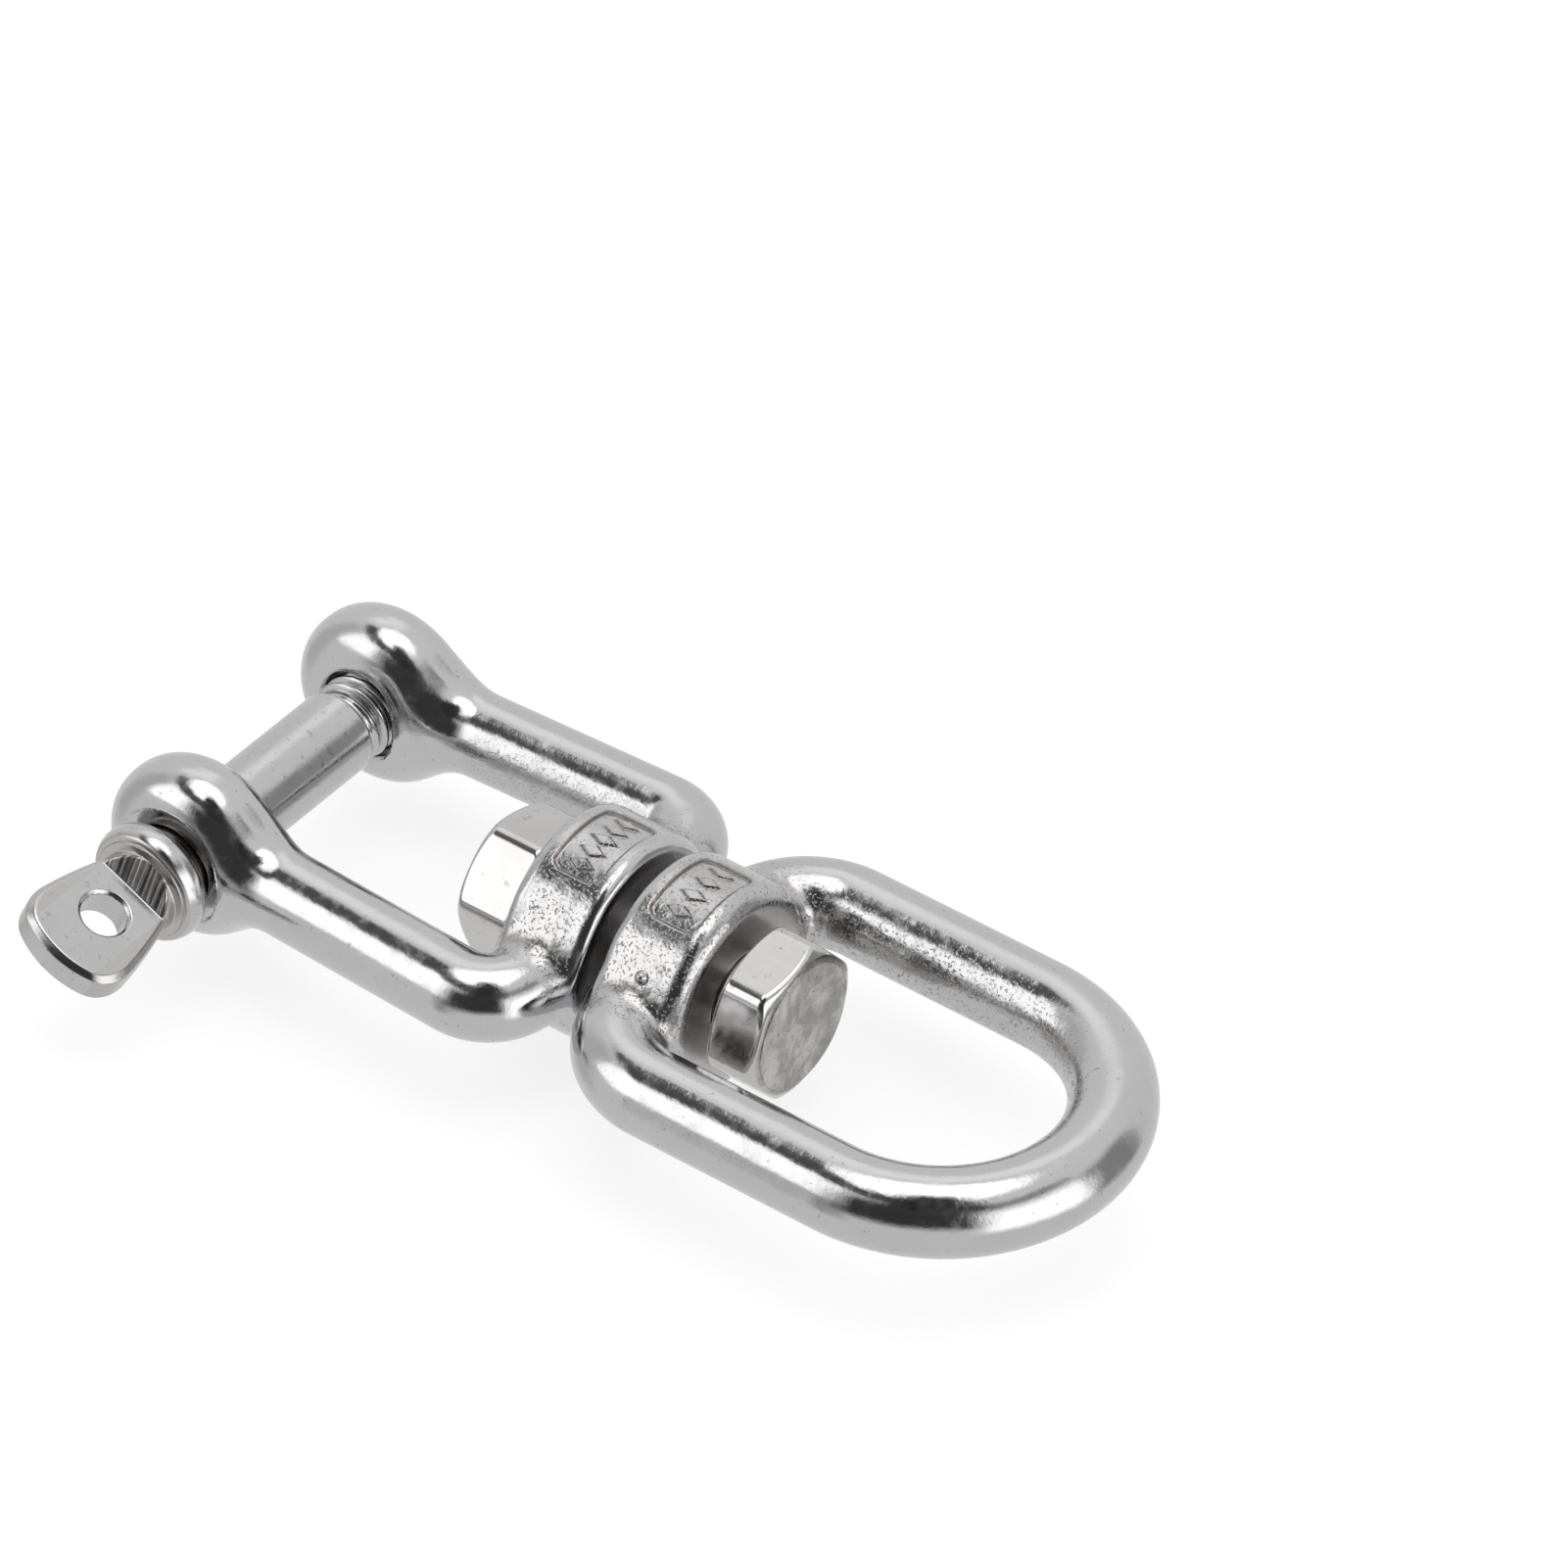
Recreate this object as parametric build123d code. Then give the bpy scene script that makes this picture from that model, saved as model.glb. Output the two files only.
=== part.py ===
from build123d import *
import os
from math import radians, sqrt, tan

os.makedirs("parts", exist_ok=True)

# Anchor swivel, jaw and eye pattern, for 8 mm chain.
# The origin is the clevis pin's axis midway between the two ears. +X runs along the swivel axis
# to the eye, Y along the clevis pin with its screwed end at +Y, and +Z is up when it lies flat.

# Driving dimensions, millimetres
JAW_ROD_R = 3.9
EYE_ROD_R = 4.0
PIN_R = 4.0
BOLT_R = 4.0
RUNNING_GAP = 0.08

# Bosses: two plain drums on the swivel axis, face to face
BOSS_R = 10.05
BOSS_EDGE_R = 1.4
BOSS_GAP = 1.4
JAW_BOSS_LENGTH = 9.0
EYE_BOSS_LENGTH = 9.2
GAP_X = 39.9

# Jaw: a bow of round rod with an ear on each end
JAW_CROSS_X = GAP_X - 5.5
JAW_CORNER_Y = 15.1
JAW_CORNER_R = 4.3
EAR_Y = 13.4
EAR_R = 8.6
EAR_THICKNESS = 8.2
EAR_EDGE_R = 3.9
JAW_BLEND_R = 1.0
MOUTH_CHAMFER = 0.45

# Eye: a closed D of round rod
EYE_CROSS_X = GAP_X + 3.9
EYE_HALF_WIDTH = 15.2
EYE_CORNER_R = 7.6
EYE_END_X = GAP_X + 30.9
EYE_BLEND_R = 1.5

# Swivel bolt, its nut and the ground weld that locks them
HEAD_ACROSS_FLATS = 13.0
HEAD_HEIGHT = 6.4
HEAD_CLEARANCE = 0.4
HEAD_ANGLE = 47.5
NUT_ACROSS_FLATS = 13.5
NUT_HEIGHT = 5.4
NUT_CLEARANCE = 1.3
NUT_ANGLE = 11.5
END_CIRCLE = 0.955
BASE_CIRCLE = 1.02
CHAMFER_SLOPE = tan(radians(30))
THREAD_R = 3.9
WELD_R = 5.0
WELD_DEPTH = 1.2

# Clevis pin: screwed tip, plain shank, collar, and a flat tab with a wire hole
COLLAR_BACK_Y = -18.75
COLLAR_FRONT_Y = -21.3
COLLAR_R = 5.7
COLLAR_EDGE_R = 0.5
FACE_DOME = 0.3
SHANK_END_Y = 6.5
SHANK_CHAMFER = 0.35
UNDERCUT_R = 3.3
UNDERCUT_END_Y = 7.4
TIP_Y = 16.6
THREAD_PITCH = 1.25
TAB_TILT = 25
TAB_THICKNESS = 3.4
TAB_ROOT_Y = -23.3
TAB_ROOT_HALF = 3.7
TAB_CORNER_Y = -32.0
TAB_CORNER_HALF = 5.75
TAB_END_Y = -34.0
TAB_SIDE_BULGE = 0.3
TAB_CORNER_R = 1.0
TAB_BEVEL_IN = 1.0
TAB_BEVEL_DOWN = 0.9
WIRE_HOLE_R = 2.15
WIRE_HOLE_Y = -27.2
WIRE_HOLE_CHAMFER = 0.3

# Worked-out places
JAW_BOSS_X = (GAP_X - BOSS_GAP / 2 - JAW_BOSS_LENGTH, GAP_X - BOSS_GAP / 2)
EYE_BOSS_X = (GAP_X + BOSS_GAP / 2, GAP_X + BOSS_GAP / 2 + EYE_BOSS_LENGTH)
HEAD_X = (JAW_BOSS_X[0] - HEAD_CLEARANCE - HEAD_HEIGHT, JAW_BOSS_X[0] - HEAD_CLEARANCE)
NUT_X = (EYE_BOSS_X[1] + NUT_CLEARANCE, EYE_BOSS_X[1] + NUT_CLEARANCE + NUT_HEIGHT)
EAR_OUTER_Y = EAR_Y + EAR_THICKNESS / 2
EAR_INNER_Y = EAR_Y - EAR_THICKNESS / 2
BORE_R = BOLT_R + RUNNING_GAP


def drum(radius, x0, x1, edge_r=0.0):
    """A cylinder on the swivel axis from x0 to x1, with rounded rims."""
    body = Pos((x0 + x1) / 2, 0, 0) * Rot(0, 90, 0) * Cylinder(radius, x1 - x0)
    if edge_r:
        body = fillet(body.edges().filter_by(GeomType.CIRCLE), edge_r)
    return body


def bar(radius, y0, y1, x=0):
    """A cylinder along the clevis pin's direction from y0 to y1."""
    return Pos(x, (y0 + y1) / 2, 0) * Rot(90, 0, 0) * Cylinder(radius, abs(y1 - y0))


def turned(points):
    """A solid turned about the Y axis from (radius, y) points."""
    outline = make_face(Polyline(*[(r, y) for r, y in points], close=True))
    return revolve(outline, Axis.Y)


def ear(side):
    """One ear of the jaw: a fat disc about the pin, rounded all the way over its rim."""
    disc = bar(EAR_R, side * EAR_INNER_Y, side * EAR_OUTER_Y)
    return fillet(disc.edges().filter_by(GeomType.CIRCLE), EAR_EDGE_R)


def soften(body, radius, x_from):
    """Round the seams where the rod runs into the boss, all of them beyond x_from."""
    seams = [e for e in body.edges().filter_by(GeomType.BSPLINE) if e.center().X > x_from]
    return fillet(seams, radius)


def jaw_bow():
    """The U-shaped jaw: boss, bent rod and two ears in one casting."""
    corners = [(0, -EAR_Y), (JAW_CROSS_X, -JAW_CORNER_Y), (JAW_CROSS_X, JAW_CORNER_Y), (0, EAR_Y)]
    path = FilletPolyline(*corners, radius=JAW_CORNER_R)
    start = Plane(origin=path @ 0, z_dir=path % 0)
    rod = sweep(start * Circle(JAW_ROD_R), path=path)
    body = rod + ear(-1) + ear(1) + drum(BOSS_R, *JAW_BOSS_X, BOSS_EDGE_R)
    body = soften(body, JAW_BLEND_R, JAW_BOSS_X[0])
    body -= drum(BORE_R, JAW_BOSS_X[0] - 1, JAW_BOSS_X[1] + 1)
    # The near ear is bored clear for the shank, and the far ear takes the thread
    body -= bar(PIN_R + RUNNING_GAP, 0, -EAR_OUTER_Y - 1)
    body -= bar(THREAD_R + RUNNING_GAP, 0, EAR_OUTER_Y + 1)
    mouth = [(0, EAR_INNER_Y - 1), (THREAD_R + RUNNING_GAP + MOUTH_CHAMFER + 1, EAR_INNER_Y - 1),
             (0, EAR_INNER_Y + THREAD_R + RUNNING_GAP + MOUTH_CHAMFER)]
    return body - turned(mouth)


def eye_bow():
    """The eye: a D-shaped ring of round rod cast in one with its boss."""
    c = EYE_CORNER_R
    x0, x1, w = EYE_CROSS_X, EYE_END_X, EYE_HALF_WIDTH
    k = c * (1 - sqrt(0.5))
    edges = [
        Line((x0, 0), (x0, w - c)),
        ThreePointArc((x0, w - c), (x0 + k, w - k), (x0 + c, w)),
        Line((x0 + c, w), (x1, w)),
        ThreePointArc((x1, w), (x1 + w, 0), (x1, -w)),
        Line((x1, -w), (x0 + c, -w)),
        ThreePointArc((x0 + c, -w), (x0 + k, k - w), (x0, c - w)),
        Line((x0, c - w), (x0, 0)),
    ]
    ring = sweep(Plane(origin=(x0, 0, 0), z_dir=(0, 1, 0)) * Circle(EYE_ROD_R), path=Wire(edges))
    # The ring's back stands a little proud of the boss, so the face towards the jaw is cut flat
    ring -= drum(BOSS_R, EYE_BOSS_X[0] - BOSS_GAP, EYE_BOSS_X[0])
    body = ring + drum(BOSS_R, *EYE_BOSS_X, BOSS_EDGE_R)
    body = soften(body, EYE_BLEND_R, EYE_BOSS_X[0] + BOSS_EDGE_R)
    return body - drum(BORE_R, EYE_BOSS_X[0] - 1, EYE_BOSS_X[1] + 1)


def hexagon(across_flats, x0, x1, angle, circles):
    """A hexagon prism on the swivel axis, its corners turned off at both ends at 30 degrees.

    circles holds the end-face diameters at x0 and x1, as shares of the size across flats.
    """
    flat = RegularPolygon(across_flats / 2, 6, major_radius=False, rotation=angle)
    prism = Pos(x0, 0, 0) * extrude(Plane.YZ * flat, x1 - x0)
    corner_r = across_flats / sqrt(3) + 0.1
    r0, r1 = (across_flats / 2 * share for share in circles)
    depth0, depth1 = ((corner_r - r) * CHAMFER_SLOPE for r in (r0, r1))
    outline = Polyline((x0, 0), (x0, r0), (x0 + depth0, corner_r), (x1 - depth1, corner_r),
                       (x1, r1), (x1, 0), close=True)
    return prism & revolve(make_face(outline), Axis.X)


def swivel_bolt():
    """Hexagon-headed bolt through both bosses; its threaded end stops inside the nut."""
    head = hexagon(HEAD_ACROSS_FLATS, *HEAD_X, HEAD_ANGLE, (END_CIRCLE, BASE_CIRCLE))
    shank = drum(BOLT_R, HEAD_X[1] - 1, EYE_BOSS_X[1])
    thread = drum(THREAD_R, EYE_BOSS_X[1] - 1, NUT_X[1] - WELD_DEPTH)
    return head + shank + thread


def swivel_nut():
    """The nut on the eye side, counterbored for the weld."""
    nut = hexagon(NUT_ACROSS_FLATS, *NUT_X, NUT_ANGLE, (BASE_CIRCLE, END_CIRCLE))
    return nut - drum(THREAD_R, *NUT_X) - drum(WELD_R, NUT_X[1] - WELD_DEPTH, NUT_X[1] + 1)


def nut_lock_weld():
    """The weld over the bolt's end, ground flush with the nut."""
    return drum(WELD_R, NUT_X[1] - WELD_DEPTH, NUT_X[1])


def thread_outline():
    """Ring grooves from the undercut to the tip, standing for the thread."""
    points = []
    depth = THREAD_R - UNDERCUT_R
    y = UNDERCUT_END_Y
    while y + THREAD_PITCH < TIP_Y:
        points += [(UNDERCUT_R, y), (THREAD_R, y + 0.42 * THREAD_PITCH), (THREAD_R, y + 0.58 * THREAD_PITCH)]
        y += THREAD_PITCH
    return points + [(UNDERCUT_R, y), (UNDERCUT_R + 0.1, TIP_Y - 0.1), (UNDERCUT_R - 0.4, TIP_Y)]


def clevis_pin():
    """The screw pin: threaded tip, shank, collar and the flat tab that turns it."""
    shaft = turned([
        (0, COLLAR_BACK_Y - 1), (PIN_R, COLLAR_BACK_Y - 1),
        (PIN_R, SHANK_END_Y - SHANK_CHAMFER), (PIN_R - SHANK_CHAMFER, SHANK_END_Y),
        (UNDERCUT_R, SHANK_END_Y), *thread_outline(), (0, TIP_Y),
    ])
    collar = bar(COLLAR_R, COLLAR_BACK_Y, COLLAR_FRONT_Y)
    collar = fillet(collar.edges().filter_by(GeomType.CIRCLE), COLLAR_EDGE_R)
    dome = turned([(0, COLLAR_FRONT_Y + 1), (COLLAR_R - COLLAR_EDGE_R, COLLAR_FRONT_Y + 1),
                   (COLLAR_R - COLLAR_EDGE_R, COLLAR_FRONT_Y), (PIN_R, COLLAR_FRONT_Y - FACE_DOME),
                   (0, COLLAR_FRONT_Y - FACE_DOME)])
    return shaft + collar + dome + Rot(0, TAB_TILT, 0) * tab()


def tab():
    """The tab, flat side up: a neck milled down by two ramps, then a bevelled plate."""
    half, end = TAB_THICKNESS / 2, COLLAR_FRONT_Y - FACE_DOME
    neck = bar(PIN_R, COLLAR_FRONT_Y + 1, TAB_ROOT_Y - 1)
    ramps = Polyline((COLLAR_FRONT_Y + 1, PIN_R + 1), (end, PIN_R), (TAB_ROOT_Y, half),
                     (TAB_ROOT_Y - 2, half), (TAB_ROOT_Y - 2, -half), (TAB_ROOT_Y, -half),
                     (end, -PIN_R), (COLLAR_FRONT_Y + 1, -PIN_R - 1), close=True)
    neck &= extrude(Plane.YZ * make_face(ramps), PIN_R + 1, both=True)
    side_y, side_x = (end + TAB_CORNER_Y) / 2, (TAB_ROOT_HALF + TAB_CORNER_HALF) / 2 + TAB_SIDE_BULGE
    outline = make_face([
        Line((-TAB_ROOT_HALF, end), (TAB_ROOT_HALF, end)),
        ThreePointArc((TAB_ROOT_HALF, end), (side_x, side_y), (TAB_CORNER_HALF, TAB_CORNER_Y)),
        ThreePointArc((TAB_CORNER_HALF, TAB_CORNER_Y), (0, TAB_END_Y), (-TAB_CORNER_HALF, TAB_CORNER_Y)),
        ThreePointArc((-TAB_CORNER_HALF, TAB_CORNER_Y), (-side_x, side_y), (-TAB_ROOT_HALF, end)),
    ])
    outline = fillet(outline.vertices().sort_by(Axis.Y)[:2], TAB_CORNER_R)
    plate = extrude(outline, half, both=True)
    rims = [e for e in plate.edges() if abs(abs(e.center().Z) - half) < 0.01 and e.center().Y < end - 0.1]
    plate = chamfer(rims, TAB_BEVEL_DOWN, TAB_BEVEL_IN)
    hole = Pos(0, WIRE_HOLE_Y, 0) * Cylinder(WIRE_HOLE_R, TAB_THICKNESS + 2)
    body = neck + plate - hole
    edges = [e for e in body.edges().filter_by(GeomType.CIRCLE) if abs(e.radius - WIRE_HOLE_R) < 0.01]
    return chamfer(edges, WIRE_HOLE_CHAMFER)


NODES = {
    "jaw_bow": jaw_bow,
    "eye_bow": eye_bow,
    "swivel_bolt": swivel_bolt,
    "swivel_nut": swivel_nut,
    "nut_lock_weld": nut_lock_weld,
    "clevis_pin": clevis_pin,
}

for name, make in NODES.items():
    export_step(make(), f"parts/{name}.step")
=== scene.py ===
import math

import bpy
import numpy as np
from mathutils import Matrix, Vector


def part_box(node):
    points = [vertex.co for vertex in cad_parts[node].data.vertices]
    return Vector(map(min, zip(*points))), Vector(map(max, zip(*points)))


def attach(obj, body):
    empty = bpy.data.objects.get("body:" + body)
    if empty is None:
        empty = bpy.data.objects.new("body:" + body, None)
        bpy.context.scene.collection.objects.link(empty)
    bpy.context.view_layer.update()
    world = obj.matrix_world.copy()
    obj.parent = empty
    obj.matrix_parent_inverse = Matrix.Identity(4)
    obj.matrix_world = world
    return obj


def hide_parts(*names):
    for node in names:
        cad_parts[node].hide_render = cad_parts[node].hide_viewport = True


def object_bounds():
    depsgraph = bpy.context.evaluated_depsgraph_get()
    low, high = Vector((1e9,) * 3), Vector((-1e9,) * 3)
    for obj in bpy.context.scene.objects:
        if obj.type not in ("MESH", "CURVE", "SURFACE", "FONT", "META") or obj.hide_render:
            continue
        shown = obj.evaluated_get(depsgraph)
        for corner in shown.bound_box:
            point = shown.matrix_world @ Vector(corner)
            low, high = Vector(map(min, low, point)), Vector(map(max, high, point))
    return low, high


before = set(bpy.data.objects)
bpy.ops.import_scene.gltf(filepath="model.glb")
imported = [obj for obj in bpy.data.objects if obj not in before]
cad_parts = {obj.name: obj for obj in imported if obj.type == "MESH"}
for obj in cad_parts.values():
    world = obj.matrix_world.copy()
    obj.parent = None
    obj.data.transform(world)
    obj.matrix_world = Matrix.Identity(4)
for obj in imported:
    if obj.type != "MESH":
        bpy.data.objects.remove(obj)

CAD_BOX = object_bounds()
MM = 0.001


# ---------------------------------------------------------------- sizes, millimetres

def box_mm(node):
    """Lowest and highest corner of a CAD node, in millimetres."""
    return [np.array(corner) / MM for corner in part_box(node)]


JAW_LOW, JAW_HIGH = box_mm("jaw_bow")
EYE_LOW, EYE_HIGH = box_mm("eye_bow")
BOLT_LOW, BOLT_HIGH = box_mm("swivel_bolt")
NUT_LOW, NUT_HIGH = box_mm("swivel_nut")
WELD_LOW, WELD_HIGH = box_mm("nut_lock_weld")
PIN_LOW, PIN_HIGH = box_mm("clevis_pin")

JAW_ROD_R = 3.9
EYE_ROD_R = 4.0
PIN_R = 4.0
BOLT_R = 4.0
CLEARANCE = 0.08
BOSS_R = JAW_HIGH[2]
JAW_BOSS = (JAW_HIGH[0] - 9.0, JAW_HIGH[0])
GAP_X = JAW_HIGH[0] + 0.7
EYE_BOSS = (GAP_X + 0.7, GAP_X + 0.7 + 9.2)
BOSS_EDGE = 1.4
NUT_SIDE_EDGE = 2.0
HEAD_SEAT_R = 8.6
JAW_GAP_FACE_R = 9.6
EYE_GAP_FACE_R = 9.7
NUT_SEAT_R = 9.0

JAW_CROSS_X = GAP_X - 5.5
JAW_CORNER_Y = 15.1
JAW_CORNER_R = 4.3
EAR_R = -JAW_LOW[0]
EAR_Y = 13.4
EAR_HALF = 4.1
EAR_EDGE = 3.9
EAR_BLEND = 2.9
JAW_BOSS_BLEND = 2.1
COLLAR_SEAT_R = 5.75
COLLAR_SEAT_DEPTH = 0.22
THREAD_MOUTH = 0.55

EYE_HALF_WIDTH = EYE_HIGH[1] - EYE_ROD_R
EYE_END_X = EYE_HIGH[0] - EYE_ROD_R - EYE_HALF_WIDTH
EYE_CROSS_X = GAP_X + 3.9
EYE_CORNER_R = 7.6
EYE_BOSS_BLEND = 2.0

POCKET_LENGTH = 9.6
POCKET_WIDTH = 5.2
POCKET_CORNER = 1.2
POCKET_DEPTH = 0.32
POCKET_ANGLE = math.radians(1)
LOZENGE_HALF = 1.35
NUB_R = 0.5
NUB_ANGLE = math.radians(58)

HEAD_FLATS = 13.0
HEAD_HEIGHT = 6.4
HEAD_ANGLE = math.radians(47.5)
NUT_FLATS = 13.5
NUT_ANGLE = math.radians(11.5)
END_CIRCLE = 0.955
BASE_CIRCLE = 1.02
WELD_SKIN = 0.09
WELD_SKIN_R = 6.2

COLLAR = (-21.3, -18.75)
COLLAR_R = PIN_HIGH[0]
FACE_R = 4.8
SHANK_END = 6.5
THREAD_START = 7.4
THREAD_PITCH = 1.25
THREAD_R = 3.9
THREAD_ROOT_R = 3.3
TAB_TILT = math.radians(25)
TAB_HALF = 1.7
TAB_ROOT_Y = -23.3
TAB_ROOT_HALF = 3.7
TAB_CORNER = (5.75, -32.0)
TAB_BULGE = 0.3
TAB_BEVEL = 0.55
WIRE_HOLE_R = 2.15
WIRE_HOLE_Y = -27.2

# mesh grid steps
CAST_STEP = 0.2
FINE_STEP = 0.16
PIN_STEP = 0.13


# ---------------------------------------------------------------- distance fields

def smooth_min(a, b, k):
    """Union of two shapes with a fillet about k wide."""
    h = np.clip(0.5 + 0.5 * (b - a) / k, 0, 1)
    return b + (a - b) * h - k * h * (1 - h)


def smooth_max(a, b, k):
    """Intersection of two shapes with the edge rounded about k wide."""
    return -smooth_min(-a, -b, k)


def step_up(x, low, high):
    """0 below low, 1 above high, smooth between."""
    t = np.clip((x - low) / (high - low), 0, 1)
    return t * t * (3 - 2 * t)


def disc(radial, axial, radius, half, edge):
    """A short cylinder with rounded rims, from distances off its axis and along it."""
    a, b = radial - radius + edge, np.abs(axial) - half + edge
    return np.minimum(np.maximum(a, b), 0) + np.hypot(np.maximum(a, 0), np.maximum(b, 0)) - edge


def to_segment(x, y, start, end):
    """Flat distance from points to a straight segment."""
    dx, dy = end[0] - start[0], end[1] - start[1]
    t = np.clip(((x - start[0]) * dx + (y - start[1]) * dy) / (dx * dx + dy * dy), 0, 1)
    return np.hypot(x - start[0] - t * dx, y - start[1] - t * dy)


def to_arc(x, y, centre, radius, low, high):
    """Flat distance from points to an arc between two angles; far away outside its wedge."""
    angle = np.arctan2(y - centre[1], x - centre[0])
    reach = np.abs(np.hypot(x - centre[0], y - centre[1]) - radius)
    return np.where((angle >= low) & (angle <= high), reach, 1e3)


def circle_through(p, q, r):
    """Centre and radius of the circle through three flat points."""
    p, q, r = (np.array(v, float) for v in (p, q, r))
    m = 2 * np.array([q - p, r - p])
    centre = np.linalg.solve(m, [q @ q - p @ p, r @ r - p @ p])
    return centre, np.linalg.norm(p - centre)


def jaw_rod(x, y, z):
    """The bent rod of the jaw: two legs, two corners and the cross piece."""
    y = np.abs(y)
    leg = np.array([JAW_CROSS_X, JAW_CORNER_Y - EAR_Y])
    along = leg / np.linalg.norm(leg)
    turn = math.pi / 2 + math.atan2(along[1], along[0])
    setback = JAW_CORNER_R * math.tan(turn / 2)
    corner = np.array([JAW_CROSS_X, JAW_CORNER_Y])
    first, last = corner - along * setback, corner - np.array([0, setback])
    centre = last - np.array([JAW_CORNER_R, 0])
    flat = to_segment(x, y, (0, EAR_Y), first)
    flat = np.minimum(flat, to_arc(x, y, centre, JAW_CORNER_R, 0, turn))
    flat = np.minimum(flat, to_segment(x, y, last, (JAW_CROSS_X, 0)))
    return np.hypot(flat, z) - JAW_ROD_R


def eye_rod(x, y, z):
    """The D-shaped ring of the eye."""
    y = np.abs(y)
    c = EYE_CORNER_R
    side = EYE_CROSS_X + c
    flat = to_segment(x, y, (EYE_CROSS_X, 0), (EYE_CROSS_X, EYE_HALF_WIDTH - c))
    flat = np.minimum(flat, to_arc(x, y, (side, EYE_HALF_WIDTH - c), c, math.pi / 2, math.pi))
    flat = np.minimum(flat, to_segment(x, y, (side, EYE_HALF_WIDTH), (EYE_END_X, EYE_HALF_WIDTH)))
    flat = np.minimum(flat, to_arc(x, y, (EYE_END_X, 0), EYE_HALF_WIDTH, 0, math.pi / 2))
    return np.hypot(flat, z) - EYE_ROD_R


def marks(x, y, z, boss, count):
    """A rounded pocket round the top of a boss with a row of plain raised lozenges.

    Returns how far the surface sinks, and the grime with painted shade that darkens the pocket's edges and
    the lozenges' outlines.
    """
    around = (np.arctan2(-y, z) - POCKET_ANGLE) * BOSS_R
    across = x - (boss[0] + boss[1]) / 2
    pocket = disc(np.abs(around), across, POCKET_LENGTH / 2, POCKET_WIDTH / 2, POCKET_CORNER)
    pitch = (POCKET_LENGTH - 1.2) / count
    shift = 0.5 * (1 - count % 2)
    place = np.abs(around / pitch - shift - np.round(around / pitch - shift)) * pitch
    lozenge = (place * 2.1 + np.abs(across)) * 0.6 - 0.6 * LOZENGE_HALF
    lozenge = np.where(np.abs(around) > pitch * count / 2, 1.0, np.maximum(lozenge, -0.3))
    depth = POCKET_DEPTH * step_up(-pocket, -0.1, 0.2)
    depth = depth - 0.85 * POCKET_DEPTH * step_up(-lozenge, -0.12, 0.12)
    outside = np.hypot(y, z) > BOSS_R * 0.8
    edge = np.exp(-((pocket + 0.1) / 0.13) ** 2)
    # grime and painted shade: dark along the pocket's rim and round each lozenge
    grime_and_shade = np.maximum(edge, 0.8 * np.exp(-(lozenge / 0.15) ** 2) * (pocket < -0.4))
    return np.where(outside, np.maximum(depth, 0), 0), outside * grime_and_shade


def belt(x, y, z, boss):
    """Raw casting round the middle of a boss: strongest on its sides, none at its polished rims."""
    middle, half = (boss[0] + boss[1]) / 2, (boss[1] - boss[0]) / 2
    near = np.abs(np.hypot(y, z) - BOSS_R) < 1.5
    side = 0.25 + 0.75 * step_up(np.abs(y), 4.5, 7.5)
    return near * side * (1 - step_up(np.abs(x - middle), half - 3.0, half - 1.2))


def turned_faces(x, y, z, boss):
    """1 on the two flat turned faces of a boss."""
    flat = (np.abs(x - boss[0]) < 0.6) | (np.abs(x - boss[1]) < 0.6)
    return flat * (1 - step_up(np.hypot(y, z), 7.9, 8.9))


def jaw_field(x, y, z):
    """The jaw casting: distance, raw casting left, grime with painted shade in the pin holes and along the
    marks, and turned faces.
    """
    rod = jaw_rod(x, y, z)
    off_pin, off_bolt = np.hypot(x, z), np.hypot(y, z)
    ear = disc(off_pin, np.abs(y) - EAR_Y, EAR_R, EAR_HALF, EAR_EDGE)
    middle, half = sum(JAW_BOSS) / 2, (JAW_BOSS[1] - JAW_BOSS[0]) / 2
    boss = disc(off_bolt, x - middle, BOSS_R, half, BOSS_EDGE)
    sunk, grime_and_shade = marks(x, y, z, JAW_BOSS, 5)
    raw = np.maximum(0.9 - 0.9 * step_up(np.abs(rod - boss), 0.5, 4.0), 0.8 * belt(x, y, z, JAW_BOSS))
    inner = (EAR_Y + (JAW_CORNER_Y - EAR_Y) * x / JAW_CROSS_X - np.abs(y)) / JAW_ROD_R
    raw = np.maximum(raw, 0.5 * step_up(inner, 0.3, 1.0))
    raw = raw * (1 - step_up(x, JAW_BOSS[1] - 1.4, JAW_BOSS[1] - 0.6)) * step_up(x, 9, 14)
    body = smooth_min(rod, ear, EAR_BLEND)
    body = smooth_min(body, boss + sunk, JAW_BOSS_BLEND)
    # turned faces at the bolt head and at the gap
    body = smooth_max(body, -np.maximum(off_bolt - HEAD_SEAT_R, np.abs(x - JAW_BOSS[0] + 10) - 10), 0.4)
    body = smooth_max(body, -np.maximum(off_bolt - JAW_GAP_FACE_R, np.abs(x - JAW_BOSS[1] - 10) - 10), 0.5)
    # flat seat for the collar, outside the near ear
    seat = y + EAR_Y + EAR_HALF - COLLAR_SEAT_DEPTH
    body = smooth_max(body, -np.maximum(off_pin - COLLAR_SEAT_R, seat), 0.15)
    hole = np.where(y < 0, PIN_R, THREAD_R) + CLEARANCE
    mouth = hole + np.maximum(0, THREAD_MOUTH - np.abs(np.abs(y) - EAR_Y + EAR_HALF)) * (y > 0)
    body = smooth_max(body, mouth - off_pin, 0.35)
    body = smooth_max(body, BOLT_R + CLEARANCE - off_bolt, 0.5)
    # painted shade: darkens the pin holes' walls and mouths
    grime_and_shade = np.maximum(grime_and_shade, 1 - step_up(off_pin - hole, 0.0, 0.5))
    return body, raw, grime_and_shade, turned_faces(x, y, z, JAW_BOSS)


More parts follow.
